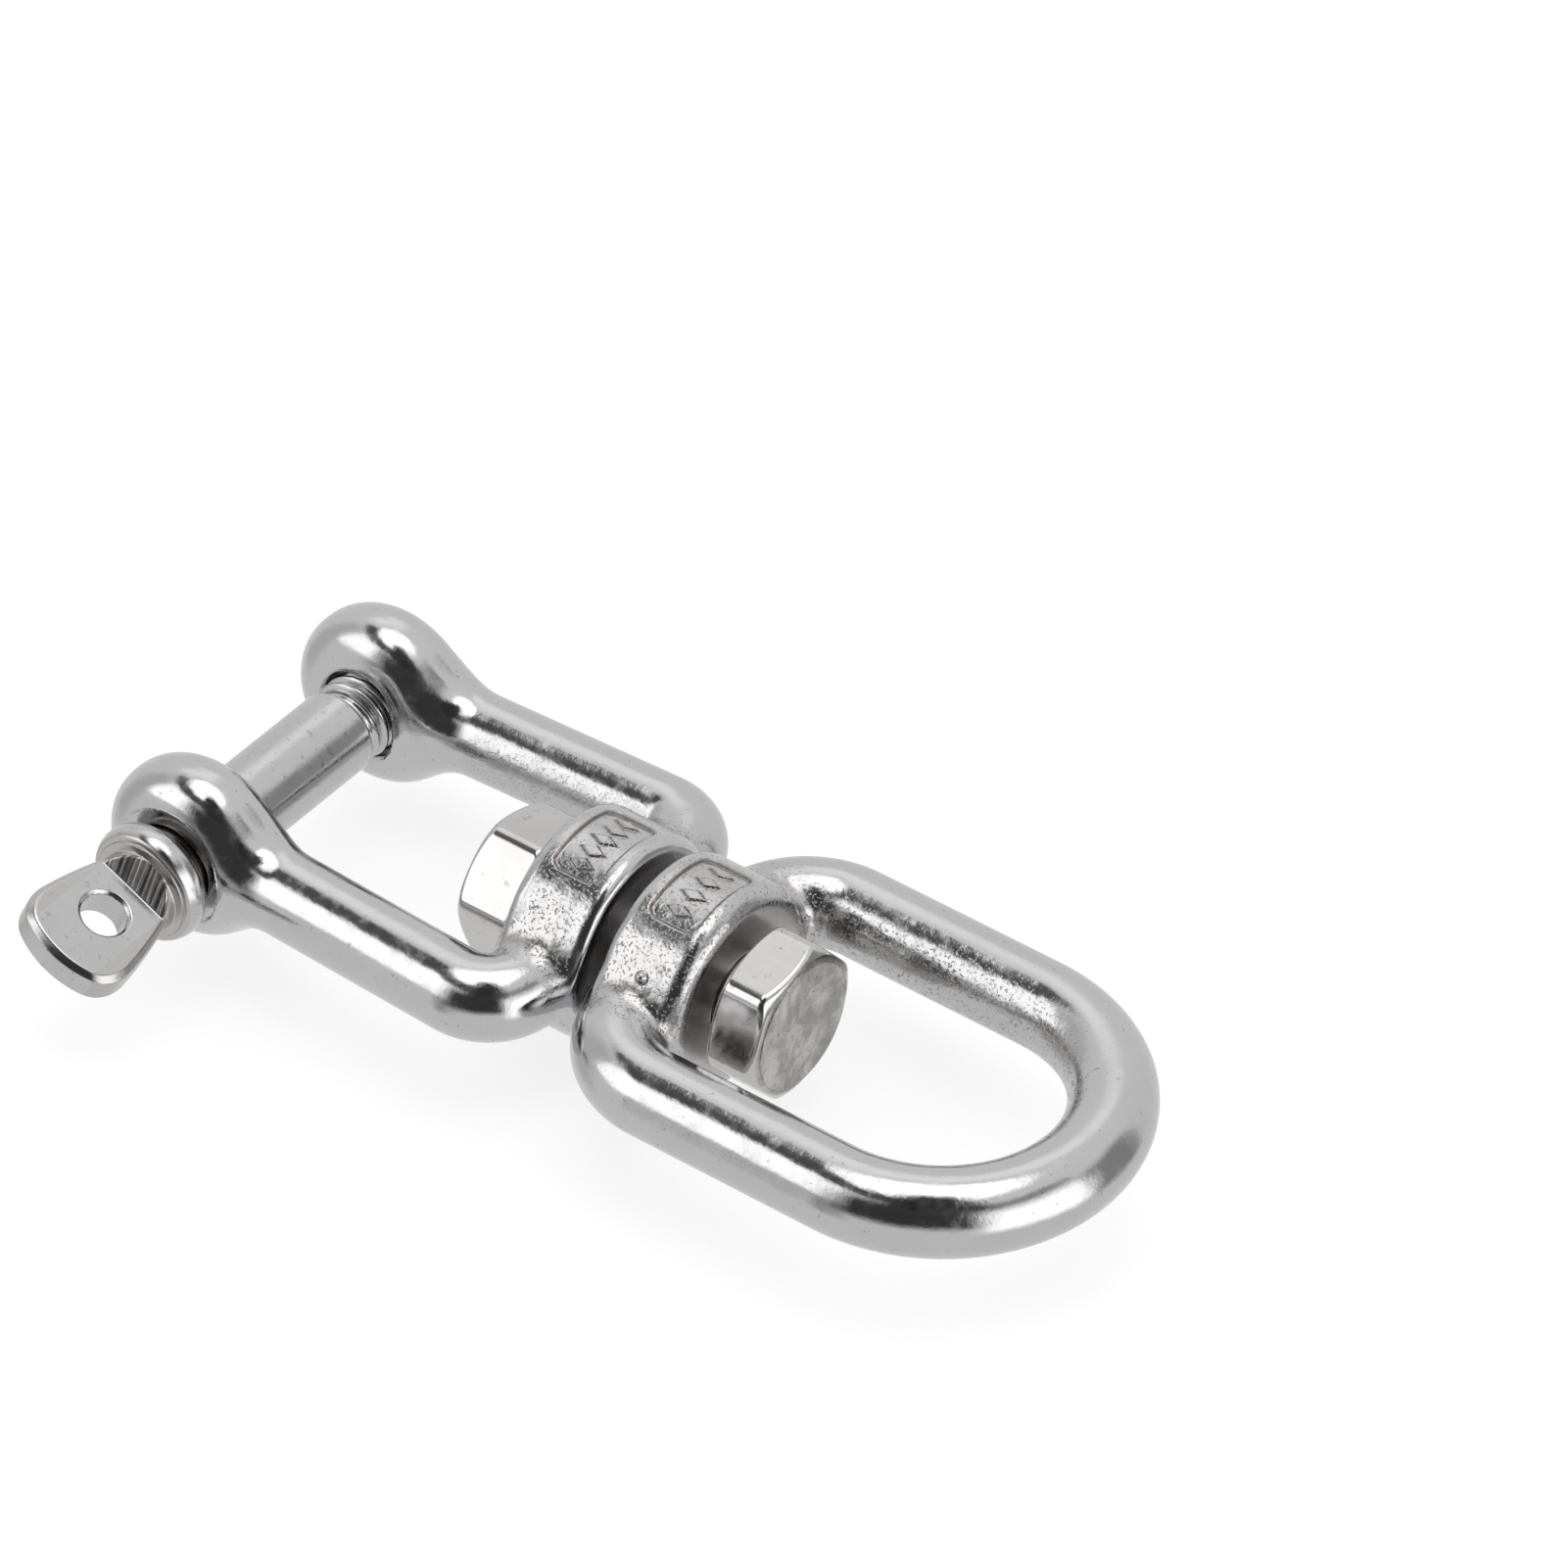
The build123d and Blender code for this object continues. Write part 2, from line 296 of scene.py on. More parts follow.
def eye_field(x, y, z):
    """The eye casting: distance, raw casting left, grime with painted shade along the marks, and turned
    faces.
    """
    rod = eye_rod(x, y, z)
    off_bolt = np.hypot(y, z)
    middle, half = sum(EYE_BOSS) / 2, (EYE_BOSS[1] - EYE_BOSS[0]) / 2
    boss = disc(off_bolt, x - middle, BOSS_R, half, np.where(x < middle, BOSS_EDGE, NUT_SIDE_EDGE))
    sunk, grime_and_shade = marks(x, y, z, EYE_BOSS, 4)
    nub_y, nub_z = -(BOSS_R + 0.05) * math.sin(NUB_ANGLE), (BOSS_R + 0.05) * math.cos(NUB_ANGLE)
    nub = np.sqrt((x - middle) ** 2 + (y - nub_y) ** 2 + (z - nub_z) ** 2) - NUB_R
    across = np.where(x > EYE_END_X, np.hypot(x - EYE_END_X, y), np.abs(y))
    inner = (EYE_HALF_WIDTH - across) / EYE_ROD_R
    raw = np.maximum(0.9 - 0.9 * step_up(np.abs(rod - boss), 0.5, 4.5), 0.8 * belt(x, y, z, EYE_BOSS))
    raw = np.maximum(raw, 0.7 * step_up(inner, 0.2, 0.9))
    turned = turned_faces(x, y, z, EYE_BOSS)
    raw = raw * step_up(x, EYE_BOSS[0] + 0.6, EYE_BOSS[0] + 1.4) * (1 - turned)
    body = smooth_min(rod, boss + sunk, EYE_BOSS_BLEND)
    body = smooth_min(body, nub, 0.25)
    # turned faces at the gap and at the nut
    body = smooth_max(body, -np.maximum(off_bolt - EYE_GAP_FACE_R, np.abs(x - EYE_BOSS[0] + 10) - 10), 0.5)
    body = smooth_max(body, -np.maximum(off_bolt - NUT_SEAT_R, np.abs(x - EYE_BOSS[1] - 3) - 3), 0.4)
    hole = np.maximum(off_bolt - BOLT_R - CLEARANCE, x - EYE_BOSS[1] - 3)
    return smooth_max(body, -hole, 0.5), raw, grime_and_shade, turned


def hexagon(x, y, z, span, flats, angle, circles):
    """A hexagon with its corners turned off at 30 degrees at both ends."""
    middle, half = (span[0] + span[1]) / 2, (span[1] - span[0]) / 2
    turns = [angle + k * math.pi / 3 for k in (0.5, 1.5, 2.5)]
    sides = [np.abs(y * math.cos(turn) + z * math.sin(turn)) - flats / 2 for turn in turns]
    body = smooth_max(smooth_max(sides[0], sides[1], 0.8), sides[2], 0.8)
    share = np.where(x < middle, circles[0], circles[1])
    along = np.abs(x - middle) - half
    cone = along * math.cos(math.pi / 6) + (np.hypot(y, z) - share * flats / 2) * math.sin(math.pi / 6)
    return smooth_max(smooth_max(body, cone, 0.45), along, 0.3)


def bolt_field(x, y, z):
    """The swivel bolt: hexagon head and shank."""
    head = hexagon(x, y, z, (BOLT_LOW[0], BOLT_LOW[0] + HEAD_HEIGHT), HEAD_FLATS, HEAD_ANGLE,
                   (END_CIRCLE, BASE_CIRCLE))
    start, end = BOLT_LOW[0] + 1, BOLT_HIGH[0]
    shank = disc(np.hypot(y, z), x - (start + end) / 2, BOLT_R, (end - start) / 2, 0.3)
    return smooth_min(head, shank, 0.3), np.zeros_like(x), np.zeros_like(x), np.zeros_like(x)


def nut_field(x, y, z):
    """The nut. Its end face is just under the ground weld."""
    end = NUT_HIGH[0] - WELD_SKIN
    body = hexagon(x, y, z, (NUT_LOW[0], end), NUT_FLATS, NUT_ANGLE, (BASE_CIRCLE, END_CIRCLE))
    body = smooth_max(body, BOLT_R + 0.02 - np.hypot(y, z), 0.1)
    return body, step_up(x, end - 0.2, end - 0.05), np.zeros_like(x), np.zeros_like(x)


def weld_field(x, y, z):
    """The weld, ground off level across the end of the bolt and nut."""
    middle, half = (WELD_LOW[0] + WELD_HIGH[0]) / 2, (WELD_HIGH[0] - WELD_LOW[0]) / 2
    off_axis = np.hypot(y, z)
    plug = disc(off_axis, x - middle, BOLT_R, half, 0.02)
    skin = disc(off_axis, x - WELD_HIGH[0] + WELD_SKIN, WELD_SKIN_R, WELD_SKIN, 0.07)
    return np.minimum(plug, skin), np.ones_like(x), np.zeros_like(x), np.zeros_like(x)


def pin_field(x, y, z):
    """The clevis pin: thread, shank, collar, milled neck and tilted tab."""
    radial, turn = np.hypot(x, z), np.arctan2(z, x) / (2 * math.pi)
    shank = disc(radial, y - (COLLAR[1] - 1 + SHANK_END) / 2, PIN_R, (SHANK_END - COLLAR[1] + 1) / 2, 0.3)
    tooth = np.abs(((y - THREAD_START) / THREAD_PITCH + turn) % 1 - 0.5) * 2
    tip = PIN_HIGH[1]
    fade = step_up(y, THREAD_START - 0.4, THREAD_START + 0.5) * step_up(-y, 0.1 - tip, 0.9 - tip)
    crest = THREAD_ROOT_R + (THREAD_R - THREAD_ROOT_R) * fade * step_up(tooth, 0.12, 0.85)
    screw = smooth_max((radial - crest) * 0.8, np.abs(y - tip / 2) - tip / 2, 0.2)
    rim = np.hypot(radial - COLLAR_R + 2.2, (y - sum(COLLAR) / 2) * 1.05) - 2.2
    rim = smooth_max(rim, np.abs(y - sum(COLLAR) / 2) - (COLLAR[1] - COLLAR[0]) / 2, 0.2)
    rim = np.minimum(rim, disc(radial, y - sum(COLLAR) / 2, COLLAR_R - 1, (COLLAR[1] - COLLAR[0]) / 2, 0.1))
    front = COLLAR[0] - 0.3
    face = np.maximum(radial - FACE_R, np.maximum(front - y + (radial - PIN_R) * 0.14, y - COLLAR[0] - 1))
    body = smooth_min(np.minimum(shank, screw), rim, 0.15)
    body = np.minimum(body, face)
    across = x * math.cos(TAB_TILT) - z * math.sin(TAB_TILT)
    up = np.abs(x * math.sin(TAB_TILT) + z * math.cos(TAB_TILT))
    slope = math.atan2(PIN_R - TAB_HALF, front - TAB_ROOT_Y)
    ramp = (up - TAB_HALF) * math.cos(slope) - (y - TAB_ROOT_Y) * math.sin(slope)
    neck = smooth_max(np.maximum(ramp, TAB_ROOT_Y - 1 - y), radial - PIN_R, 0.12)
    neck = np.maximum(neck, y - COLLAR[0] - 1)
    body = smooth_min(smooth_min(body, neck, 0.1), plate(across, y, up), 0.15)
    milled = (np.abs(ramp) < 0.15) * step_up(y, TAB_ROOT_Y, TAB_ROOT_Y + 0.15) * (y < front) * 1.0
    # painted shade: a dark band on the shank in the gap past the collar and into the ear, and dark thread
    # roots
    grime_and_shade = step_up(y, COLLAR[1], COLLAR[1] + 0.3) * (1 - step_up(y, COLLAR[1] + 1.6, COLLAR[1] + 2.2))
    grime_and_shade = np.maximum(grime_and_shade, (1 - step_up(tooth, 0.1, 0.5)) * (y > THREAD_START - 0.6))
    return body, milled, grime_and_shade, (y < COLLAR[0] + 0.2) * (radial > PIN_R) * 1.0


def plate(across, y, up):
    """The tab's bevelled plate with its wire hole."""
    root = (TAB_ROOT_HALF, COLLAR[0] - 0.3)
    side_y, side_x = (root[1] + TAB_CORNER[1]) / 2, (TAB_ROOT_HALF + TAB_CORNER[0]) / 2 + TAB_BULGE
    centre, radius = circle_through(root, (side_x, side_y), TAB_CORNER)
    sides = np.hypot(np.abs(across) - centre[0], y - centre[1]) - radius
    end_centre, end_radius = circle_through(TAB_CORNER, (0, PIN_LOW[1]), (-TAB_CORNER[0], TAB_CORNER[1]))
    outline = smooth_max(sides, np.hypot(across, y - end_centre[1]) - end_radius, 2.2)
    outline = np.maximum(outline, y - root[1])
    face = up - TAB_HALF
    body = smooth_max(outline, face, 0.12)
    body = smooth_max(body, (outline + face + TAB_BEVEL) * math.sqrt(0.5), 0.12)
    off_hole = np.hypot(across, y - WIRE_HOLE_Y)
    hole = np.minimum(off_hole - WIRE_HOLE_R, (off_hole - WIRE_HOLE_R - 0.3 - face) * math.sqrt(0.5))
    return smooth_max(body, -hole, 0.08)


# ---------------------------------------------------------------- meshes from the fields

def gradient(field, p, h=0.01):
    """Unit normals of the field at the points, and how steep the field is there."""
    g = np.empty_like(p)
    for k in range(3):
        shift = np.zeros(3)
        shift[k] = h
        g[:, k] = field(*(p + shift).T)[0] - field(*(p - shift).T)[0]
    size = np.linalg.norm(g, axis=1, keepdims=True)
    return g / np.maximum(size, 1e-9), size[:, 0] / (2 * h)


def surface_net(field, low, high, step):
    """Points and quads of the field's surface: one point in each grid cell that it crosses."""
    axes = [np.arange(a - 1.5 * step, b + 2.5 * step, step) for a, b in zip(low, high)]
    shape = [len(a) for a in axes]
    value = np.empty(shape, np.float32)
    flat_y, flat_z = (v.ravel() for v in np.meshgrid(axes[1], axes[2], indexing="ij"))
    for i, x in enumerate(axes[0]):
        value[i] = field(np.full(flat_y.shape, x), flat_y, flat_z)[0].reshape(shape[1:])
    inside = value < 0
    total = np.zeros([n - 1 for n in shape] + [3], np.float32)
    count = np.zeros([n - 1 for n in shape], np.float32)
    crossings = []
    for axis in range(3):
        a = [slice(None)] * 3
        b = [slice(None)] * 3
        a[axis], b[axis] = slice(0, -1), slice(1, None)
        crossing = inside[tuple(a)] != inside[tuple(b)]
        where = np.argwhere(crossing)
        va, vb = value[tuple(a)][crossing], value[tuple(b)][crossing]
        t = va / (va - vb)
        point = where.astype(np.float32)
        point[:, axis] += t
        others = [k for k in range(3) if k != axis]
        for du in (0, 1):
            for dv in (0, 1):
                cell = where.copy()
                cell[:, others[0]] -= du
                cell[:, others[1]] -= dv
                np.add.at(total, tuple(cell.T), point)
                np.add.at(count, tuple(cell.T), 1)
        crossings.append((where, inside[tuple(a)][crossing]))
    used = count > 0
    index = np.full(count.shape, -1)
    index[used] = np.arange(used.sum())
    origin = np.array([a[0] for a in axes])
    points = origin + step * (total[used] / count[used][:, None]).astype(float)
    quads = []
    for axis, (where, flip) in enumerate(crossings):
        u, v = (axis + 1) % 3, (axis + 2) % 3
        corners = []
        for du, dv in ((0, 0), (1, 0), (1, 1), (0, 1)):
            cell = where.copy()
            cell[:, u] -= du
            cell[:, v] -= dv
            corners.append(index[tuple(cell.T)])
        quad = np.stack(corners, 1)
        quad[~flip] = quad[~flip][:, ::-1]
        quads.append(quad)
    return points, np.concatenate(quads)


def relax(field, points, quads, rounds=4):
    """Pulls the points onto the surface and evens out their spacing along it."""
    ends = np.concatenate([quads, np.roll(quads, -1, axis=1)]).reshape(2, -1)
    for turn in range(rounds):
        normal, size = gradient(field, points)
        reach = np.clip(field(*points.T)[0] / np.maximum(size, 0.3), -0.3, 0.3)
        points = points - normal * reach[:, None]
        if turn < rounds - 2:
            total = np.zeros_like(points)
            count = np.zeros(len(points))
            np.add.at(total, ends[0], points[ends[1]])
            np.add.at(total, ends[1], points[ends[0]])
            np.add.at(count, ends[0], 1)
            np.add.at(count, ends[1], 1)
            shift = total / count[:, None] - points
            shift -= normal * np.sum(shift * normal, axis=1, keepdims=True)
            points = points + 0.5 * shift
    return points


def solid(name, field, low, high, step, body, replaced, material):
    """One piece of the object, made from its field and riding on its body in place of the CAD node."""
    points, quads = surface_net(field, low, high, step)
    points = relax(field, points, quads)
    normals = gradient(field, points)[0]
    mesh = bpy.data.meshes.new(name)
    mesh.vertices.add(len(points))
    mesh.vertices.foreach_set("co", (points * MM).astype(np.float32).ravel())
    mesh.loops.add(quads.size)
    mesh.loops.foreach_set("vertex_index", quads.ravel().astype(np.int32))
    mesh.polygons.add(len(quads))
    mesh.polygons.foreach_set("loop_start", np.arange(0, quads.size, 4, dtype=np.int32))
    mesh.polygons.foreach_set("use_smooth", np.ones(len(quads), bool))
    for mask, values in zip(("raw", "grime_and_shade", "turned"), field(*points.T)[1:]):
        attribute = mesh.attributes.new(mask, "FLOAT", "POINT")
        attribute.data.foreach_set("value", values.astype(np.float32))
    mesh.update(calc_edges=True)
    mesh.validate()
    mesh.normals_split_custom_set_from_vertices(normals.astype(np.float32))
    mesh.materials.append(material)
    piece = bpy.data.objects.new(name, mesh)
    bpy.context.scene.collection.objects.link(piece)
    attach(piece, body)
    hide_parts(replaced)
    return piece


# ---------------------------------------------------------------- materials

# dark brown of grime and painted shade in hollows, holes and gaps
SHADE_AND_GRIME_BROWN = (0.12, 0.085, 0.06)
PIT_DARK = (0.16, 0.145, 0.13)
SPECK_DARK = (0.25, 0.22, 0.20)
RAW_GREY = (0.50, 0.485, 0.47)
TURNED_GREY = (0.52, 0.48, 0.44)


class Paint:
    """A small helper that builds one node material."""

    def __init__(self, name):
        self.material = bpy.data.materials.new(name)
        self.material.use_nodes = True
        self.nodes = self.material.node_tree.nodes
        self.links = self.material.node_tree.links
        self.shader = self.nodes["Principled BSDF"]
        self.place = self.nodes.new("ShaderNodeTexCoord").outputs["Object"]

    def link(self, source, target):
        self.links.new(source, target)

    def noise(self, scale, detail=2.0, rough=0.5, stretch=(1, 1, 1)):
        mapping = self.nodes.new("ShaderNodeMapping")
        mapping.inputs["Scale"].default_value = stretch
        self.link(self.place, mapping.inputs["Vector"])
        node = self.nodes.new("ShaderNodeTexNoise")
        node.inputs["Scale"].default_value = scale
        node.inputs["Detail"].default_value = detail
        node.inputs["Roughness"].default_value = rough
        self.link(mapping.outputs["Vector"], node.inputs["Vector"])
        return node.outputs["Fac"]

    def attribute(self, name):
        node = self.nodes.new("ShaderNodeAttribute")
        node.attribute_name = name
        return node.outputs["Fac"]

    def spread(self, source, low, high, to_low, to_high):
        node = self.nodes.new("ShaderNodeMapRange")
        node.interpolation_type = "SMOOTHSTEP"
        for key, value in zip(("From Min", "From Max", "To Min", "To Max"), (low, high, to_low, to_high)):
            node.inputs[key].default_value = value
        self.link(source, node.inputs["Value"])
        return node.outputs["Result"]

    def math(self, operation, a, b):
        node = self.nodes.new("ShaderNodeMath")
        node.operation = operation
        for value, target in zip((a, b), node.inputs):
            if isinstance(value, (int, float)):
                target.default_value = value
            else:
                self.link(value, target)
        return node.outputs["Value"]

    def blend(self, factor, low, high):
        node = self.nodes.new("ShaderNodeMix")
        node.data_type = "RGBA"
        for value, target in zip((low, high), (node.inputs["A"], node.inputs["B"])):
            if isinstance(value, tuple):
                target.default_value = (*value, 1)
            else:
                self.link(value, target)
        self.link(factor, node.inputs["Factor"])
        return node.outputs["Result"]

    def bump(self, height, distance, strength=1.0, under=None):
        node = self.nodes.new("ShaderNodeBump")
        node.inputs["Distance"].default_value = distance
        node.inputs["Strength"].default_value = strength
        self.link(height, node.inputs["Height"])
        if under is not None:
            self.link(under, node.inputs["Normal"])
        return node.outputs["Normal"]

    def finish(self, colour, roughness, normal=None):
        self.shader.inputs["Metallic"].default_value = 1.0
        self.link(colour, self.shader.inputs["Base Color"])
        self.link(roughness, self.shader.inputs["Roughness"])
        if normal is not None:
            self.link(normal, self.shader.inputs["Normal"])
        return self.material


def cast_steel():
    """Polished casting: mirror smooth on the rods, pitted where a wheel can't reach."""
    p = Paint("cast_steel")
    raw, grime_and_shade, turned = p.attribute("raw"), p.attribute("grime_and_shade"), p.attribute("turned")
    smudge = p.noise(110, 4, 0.6)
    wave = p.noise(230, 2, 0.5)
    grain = p.noise(2600, 3, 0.6)
    pits = p.noise(3500, 2, 0.55)
    lines = p.noise(700, 3, 0.6, (0.06, 1, 1))
    where = p.spread(p.noise(600, 3, 0.6), 0.34, 0.62, 0.25, 1)
    pitted = p.math("MULTIPLY", p.spread(raw, 0.1, 0.9, 0, 1), where)
    holes = p.math("MULTIPLY", p.spread(pits, 0.57, 0.67, 0, 1), pitted)
    specks = p.spread(p.noise(1500, 2), 0.68, 0.76, 0, 1)
    colour = p.blend(smudge, (0.53, 0.531, 0.541), (0.605, 0.607, 0.617))
    colour = p.blend(p.math("MULTIPLY", raw, 0.5), colour, RAW_GREY)
    colour = p.blend(p.math("MULTIPLY", holes, 0.7), colour, PIT_DARK)
    colour = p.blend(p.math("MULTIPLY", specks, 0.5), colour, SPECK_DARK)
    colour = p.blend(p.math("MULTIPLY", turned, 0.4), colour, TURNED_GREY)
    # painted shade with some grime: dark brown round the pin holes and along the marks
    colour = p.blend(p.math("MULTIPLY", grime_and_shade, 0.8), colour, SHADE_AND_GRIME_BROWN)
    haze = p.spread(p.noise(620, 6, 0.72), 0.42, 0.72, 0, 0.16)
    roughness = p.math("ADD", p.spread(smudge, 0.35, 0.7, 0.07, 0.12), haze)
    roughness = p.math("ADD", roughness, p.math("MULTIPLY", raw, 0.1))
    roughness = p.math("ADD", roughness, p.math("MULTIPLY", p.math("MAXIMUM", holes, grime_and_shade), 0.25))
    roughness = p.math("ADD", roughness, p.math("MULTIPLY", turned, 0.22))
    normal = p.bump(wave, 0.00014, 0.5)
    normal = p.bump(lines, 0.000012, 0.8, normal)
    normal = p.bump(grain, 0.000012, 0.8, normal)
    normal = p.bump(p.math("MULTIPLY", p.noise(1100, 2, 0.5), raw), 0.00009, 0.8, normal)
    normal = p.bump(p.math("SUBTRACT", 1.0, holes), 0.00005, 0.8, normal)
    return p.finish(colour, roughness, normal)


def mottle(p):
    """The patchy grey of a ground weld."""
    patches = p.spread(p.noise(380, 5, 0.68), 0.36, 0.66, 0, 1)
    colour = p.blend(patches, (0.30, 0.295, 0.28), (0.56, 0.555, 0.54))
    return p.blend(p.spread(p.noise(1500, 3, 0.6), 0.60, 0.70, 0, 0.7), colour, (0.20, 0.18, 0.16))


def bolt_steel():
    """Bright hexagon stock with faint tool lines, mottled where the weld was ground off."""
    p = Paint("bolt_steel")
    smudge = p.noise(200, 4, 0.6)
    lines = p.noise(900, 2, 0.5, (0.15, 1, 1))
    dents = p.noise(1300, 3, 0.6)
    ground = p.attribute("raw")
    colour = p.blend(smudge, (0.53, 0.52, 0.51), (0.63, 0.63, 0.63))
    colour = p.blend(p.math("MULTIPLY", p.spread(dents, 0.62, 0.72, 0, 1), 0.5), colour, (0.28, 0.25, 0.22))
    colour = p.blend(ground, colour, mottle(p))
    roughness = p.math("ADD", p.spread(lines, 0.3, 0.7, 0.09, 0.17), p.math("MULTIPLY", ground, 0.2))
    normal = p.bump(lines, 0.00001, 0.5)
    return p.finish(colour, roughness, p.bump(p.noise(420, 3), 0.00004, 0.5, normal))


def weld_steel():
    """Weld ground level: mottled satin."""
    p = Paint("weld_steel")
    lines = p.noise(1500, 3, 0.6, (1, 1, 0.12))
    roughness = p.spread(lines, 0.3, 0.7, 0.24, 0.34)
    normal = p.bump(p.noise(260, 2), 0.0001, 0.6)
    return p.finish(mottle(p), roughness, p.bump(lines, 0.00002, 0.6, normal))


def pin_steel():
    """Turned satin steel, with cutter lines down the milled ramps of the neck."""
    p = Paint("pin_steel")
    milled, grime_and_shade, turned_face = p.attribute("raw"), p.attribute("grime_and_shade"), p.attribute("turned")
    turned = p.noise(1500, 2, 0.6, (0.05, 1, 0.05))
    cuts = p.noise(2400, 2, 0.6, (1, 0.02, 0.02))
    smudge = p.noise(170, 4, 0.6)
    specks = p.spread(p.noise(1700, 2), 0.62, 0.74, 0, 1)
    colour = p.blend(smudge, (0.505, 0.50, 0.50), (0.60, 0.60, 0.605))
    colour = p.blend(p.math("MULTIPLY", specks, 0.45), colour, (0.24, 0.21, 0.19))
    cut_colour = p.blend(p.spread(cuts, 0.38, 0.62, 0, 1), (0.16, 0.15, 0.145), (0.62, 0.60, 0.58))
    colour = p.blend(milled, colour, cut_colour)
    colour = p.blend(p.math("MULTIPLY", turned_face, 0.6), colour, (0.50, 0.48, 0.455))
    # painted shade: dark brown in the gap past the collar and in the thread roots
    colour = p.blend(p.math("MULTIPLY", grime_and_shade, 0.75), colour, (0.11, 0.085, 0.06))
    roughness = p.math("ADD", p.spread(turned, 0.3, 0.7, 0.12, 0.22), p.math("MULTIPLY", milled, 0.15))
    roughness = p.math("ADD", roughness, p.math("MULTIPLY", turned_face, 0.08))
    normal = p.bump(turned, 0.00001, 0.6)
    normal = p.bump(p.math("MULTIPLY", cuts, milled), 0.00008, 0.9, normal)
    return p.finish(colour, roughness, p.bump(p.noise(650, 3), 0.00002, 0.5, normal))


# ---------------------------------------------------------------- the object

CAST, BOLT, WELD, PIN = cast_steel(), bolt_steel(), weld_steel(), pin_steel()

solid("jaw_casting", jaw_field, JAW_LOW, JAW_HIGH, CAST_STEP, "jaw", "jaw_bow", CAST)
solid("eye_casting", eye_field, EYE_LOW, EYE_HIGH, CAST_STEP, "eye", "eye_bow", CAST)
solid("bolt_hexagon", bolt_field, BOLT_LOW, BOLT_HIGH, FINE_STEP, "stud", "swivel_bolt", BOLT)
solid("nut_hexagon", nut_field, NUT_LOW, NUT_HIGH, FINE_STEP, "stud", "swivel_nut", BOLT)
solid("ground_weld", weld_field, NUT_LOW, NUT_HIGH, FINE_STEP, "stud", "nut_lock_weld", WELD)
solid("screw_pin", pin_field, PIN_LOW, PIN_HIGH, PIN_STEP, "pin", "clevis_pin", PIN)


# ---------------------------------------------------------------- floor, light and camera

def floor():
    """A pale plane under the lowest point of the object. The steel reflects the studio, not the plane."""
    mesh = bpy.data.meshes.new("floor")
    reach, z = 3.0, CAD_BOX[0].z - 0.0002
    mesh.from_pydata([(-reach, -reach, z), (reach, -reach, z), (reach, reach, z), (-reach, reach, z)],
                     [], [(0, 1, 2, 3)])
    piece = bpy.data.objects.new("floor", mesh)
    bpy.context.scene.collection.objects.link(piece)
    material = bpy.data.materials.new("floor_white")
    material.use_nodes = True
    shader = material.node_tree.nodes["Principled BSDF"]
    shader.inputs["Base Color"].default_value = (0.34, 0.34, 0.34, 1)
    shader.inputs["Roughness"].default_value = 0.9
    shader.inputs["Specular IOR Level"].default_value = 0.1
    shader.inputs["Emission Color"].default_value = (1, 1, 1, 1)
    shader.inputs["Emission Strength"].default_value = 0.77
    mesh.materials.append(material)
    piece.visible_glossy = False


class Sky:
    """Node helper for the studio surround: bright and dark panels placed by direction."""

    def __init__(self):
        world = bpy.data.worlds.new("studio")
        bpy.context.scene.world = world
        world.use_nodes = True
        self.nodes, self.links = world.node_tree.nodes, world.node_tree.links
        place = self.nodes.new("ShaderNodeTexCoord")
        split = self.nodes.new("ShaderNodeSeparateXYZ")
        self.links.new(place.outputs["Generated"], split.inputs["Vector"])
        back = self.math("MULTIPLY", split.outputs["Y"], -1.0)
        self.azimuth = self.math("ARCTAN2", split.outputs["X"], back)
        self.elevation = self.math("ARCSINE", split.outputs["Z"])
        self.level = None

    def math(self, operation, *values):
        node = self.nodes.new("ShaderNodeMath")
        node.operation = operation
        for value, target in zip(values, node.inputs):
            if isinstance(value, (int, float)):
                target.default_value = value
            else:
                self.links.new(value, target)
        return node.outputs["Value"]

    def inside(self, off_centre, half, soft):
        """1 within half of the centre line, fading to 0 over soft."""
        node = self.nodes.new("ShaderNodeMapRange")
        node.interpolation_type = "SMOOTHSTEP"
        edges = {"From Min": half - soft, "From Max": half + soft, "To Min": 1.0, "To Max": 0.0}
        for key, value in edges.items():
            node.inputs[key].default_value = value
        self.links.new(self.math("ABSOLUTE", off_centre), node.inputs["Value"])
        return node.outputs["Result"]

    def base(self, low, high):
        """Level at the horizon and overhead."""
        share = self.math("MULTIPLY", self.elevation, 2 / math.pi)
        share = self.math("MAXIMUM", share, 0.0)
        self.level = self.math("ADD", self.math("MULTIPLY", share, high - low), low)

    def panel(self, azimuths, elevations, level, soft=(4, 4)):
        """A panel between two azimuths and two elevations, in degrees, 0 at the front and 90 at +X."""
        low, high = (math.radians(v) for v in azimuths)
        away = self.math("WRAP", self.math("SUBTRACT", self.azimuth, (low + high) / 2), math.pi, -math.pi)
        across = self.inside(away, (high - low) / 2, math.radians(soft[0]))
        low, high = (math.radians(v) for v in elevations)
        off_level = self.math("SUBTRACT", self.elevation, (low + high) / 2)
        along = self.inside(off_level, (high - low) / 2, math.radians(soft[1]))
        share = self.math("MULTIPLY", across, along)
        change = self.math("MULTIPLY", self.math("SUBTRACT", level, self.level), share)
        self.level = self.math("ADD", self.level, change)

    def finish(self):
        background = self.nodes["Background"]
        background.inputs["Color"].default_value = (1.0, 0.995, 0.99, 1)
        self.links.new(self.level, background.inputs["Strength"])


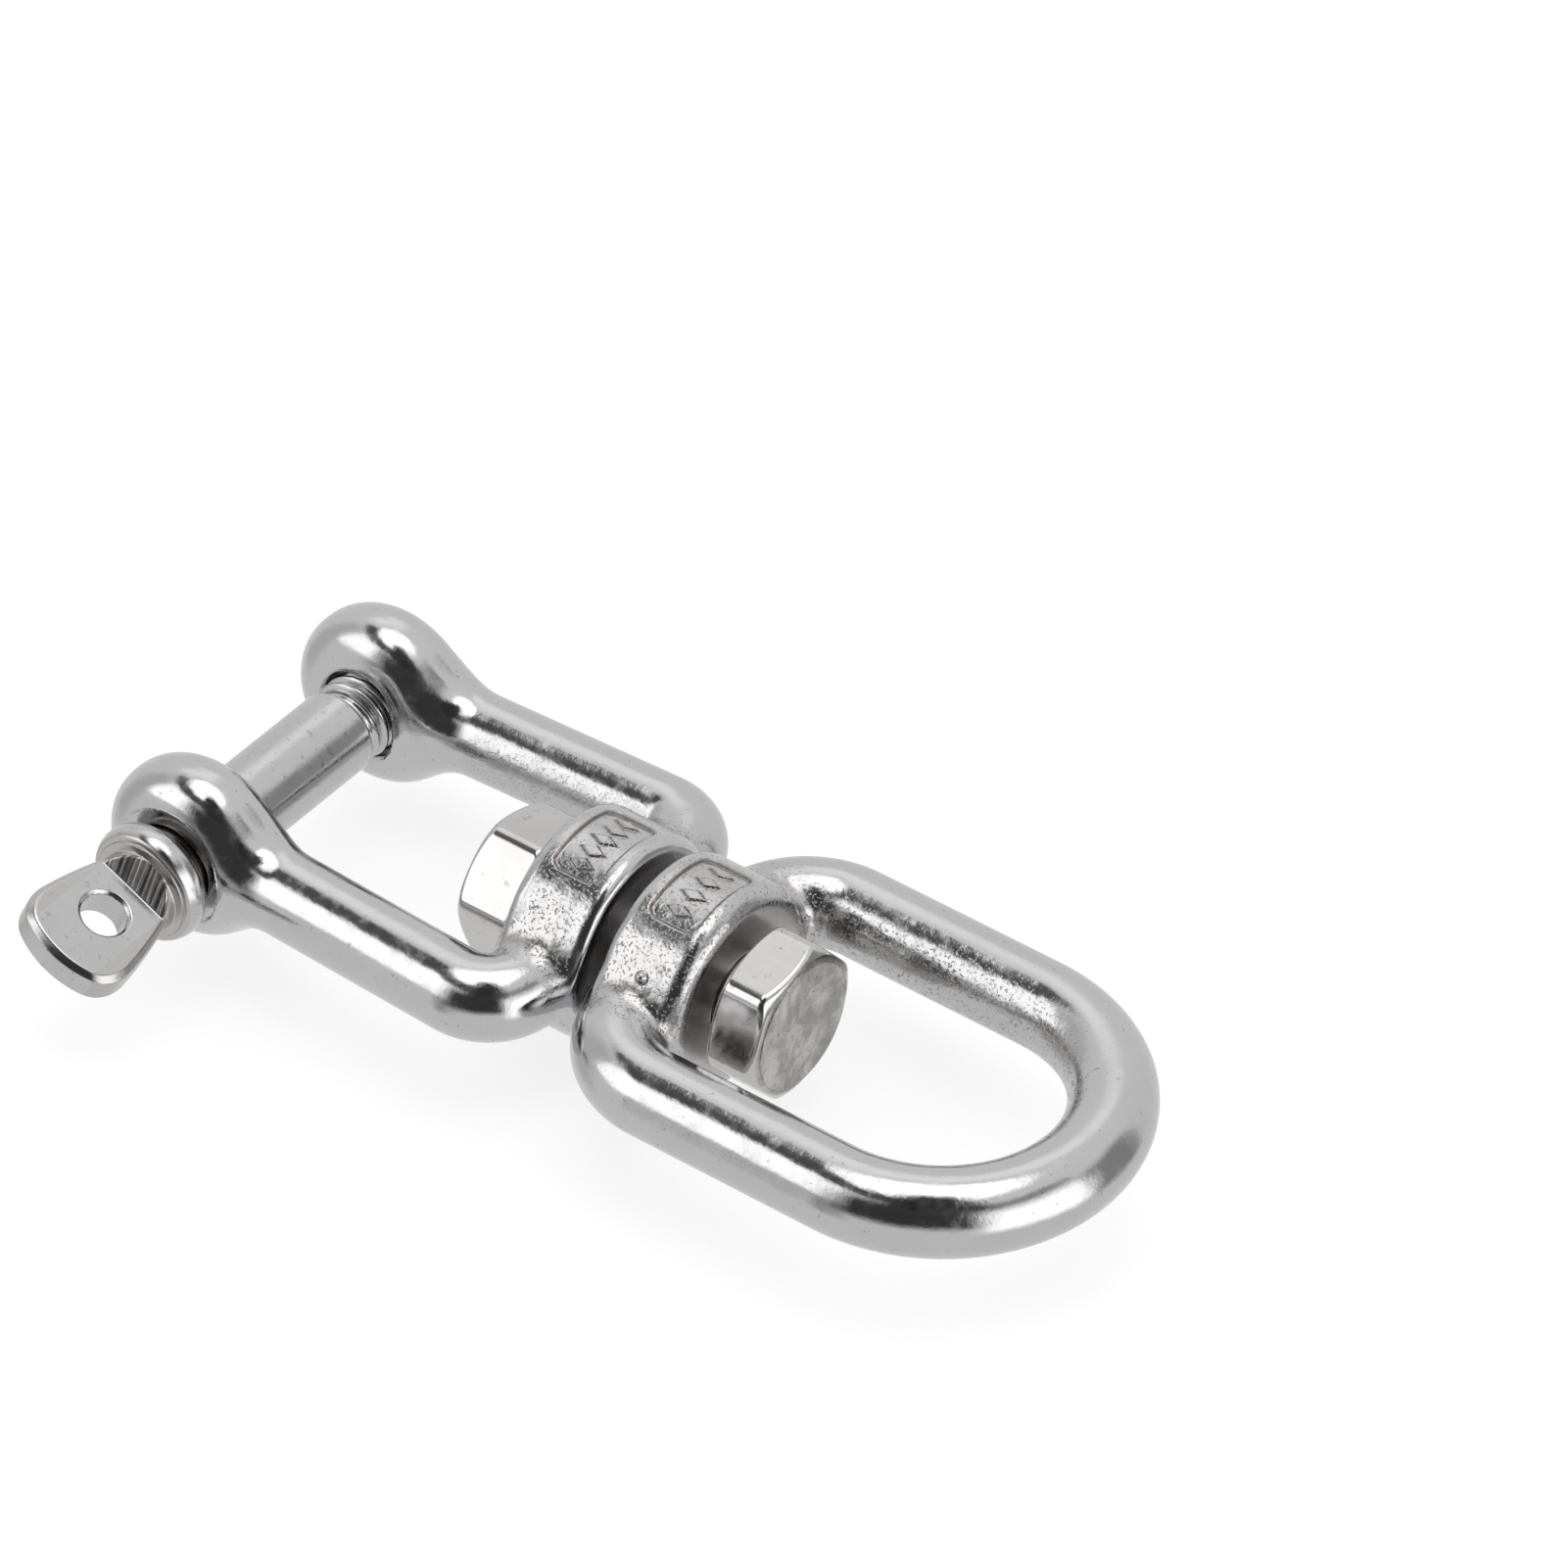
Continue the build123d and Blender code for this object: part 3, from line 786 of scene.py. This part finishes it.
def studio():
    """A grey room: lights overhead, at the right and front left, dark round the camera."""
    sky = Sky()
    sky.base(0.80, 0.92)
    sky.panel((-168, -116), (40, 60), 1.15, (10, 6))
    sky.panel((-95, -64), (-30, 44), 0.62, (10, 8))
    sky.panel((-102, 60), (50, 66), 0.1, (8, 3))
    sky.panel((-64, -22), (12, 49), 1.8, (7, 3.5))
    sky.panel((-24, -8), (-20, 12), 0.4, (8, 6))
    sky.panel((-13, 58), (-2, 45), 0.05, (9, 9))
    sky.panel((60, 112), (-18, 30), 1.85, (8, 8))
    sky.panel((60, 115), (38, 50), 0.35, (6, 5))
    sky.panel((118, 148), (-20, 33), 0.33, (7, 7))
    sky.panel((-200, 200), (67, 120), 1.95, (4, 3))
    sky.panel((4, 66), (38, 80), 0.04, (8, 5))
    sky.finish()


AZIMUTH = math.radians(36.4)
ELEVATION = math.radians(40.6)
ROLL = math.radians(1.3)
DISTANCE = 1.03
SENSOR = 36.0
LENS = 271.1
AIM_RIGHT, AIM_UP = 0.01158, 0.01440


def camera():
    """A long lens from the front right, about 40 degrees up, aimed above and right of the gap."""
    right = Vector((math.cos(AZIMUTH), math.sin(AZIMUTH), 0))
    back = Vector((math.sin(AZIMUTH) * math.cos(ELEVATION), -math.cos(AZIMUTH) * math.cos(ELEVATION),
                   math.sin(ELEVATION)))
    up = back.cross(right)
    right, up = (right * math.cos(ROLL) + up * math.sin(ROLL), up * math.cos(ROLL) - right * math.sin(ROLL))
    target = Vector((GAP_X * MM, 0, 0))
    eye = target + back * DISTANCE
    data = bpy.data.cameras.new("camera")
    data.sensor_width = SENSOR
    data.lens = LENS
    data.clip_start, data.clip_end = 0.05, 20
    aim = target + right * AIM_RIGHT + up * AIM_UP
    back = (eye - aim).normalized()
    right = up.cross(back).normalized()
    up = back.cross(right)
    obj = bpy.data.objects.new("camera", data)
    obj.matrix_world = Matrix(((right.x, up.x, back.x, eye.x), (right.y, up.y, back.y, eye.y),
                               (right.z, up.z, back.z, eye.z), (0, 0, 0, 1)))
    bpy.context.scene.collection.objects.link(obj)
    bpy.context.scene.camera = obj


floor()
studio()
camera()
bpy.context.scene.view_settings.view_transform = "Standard"
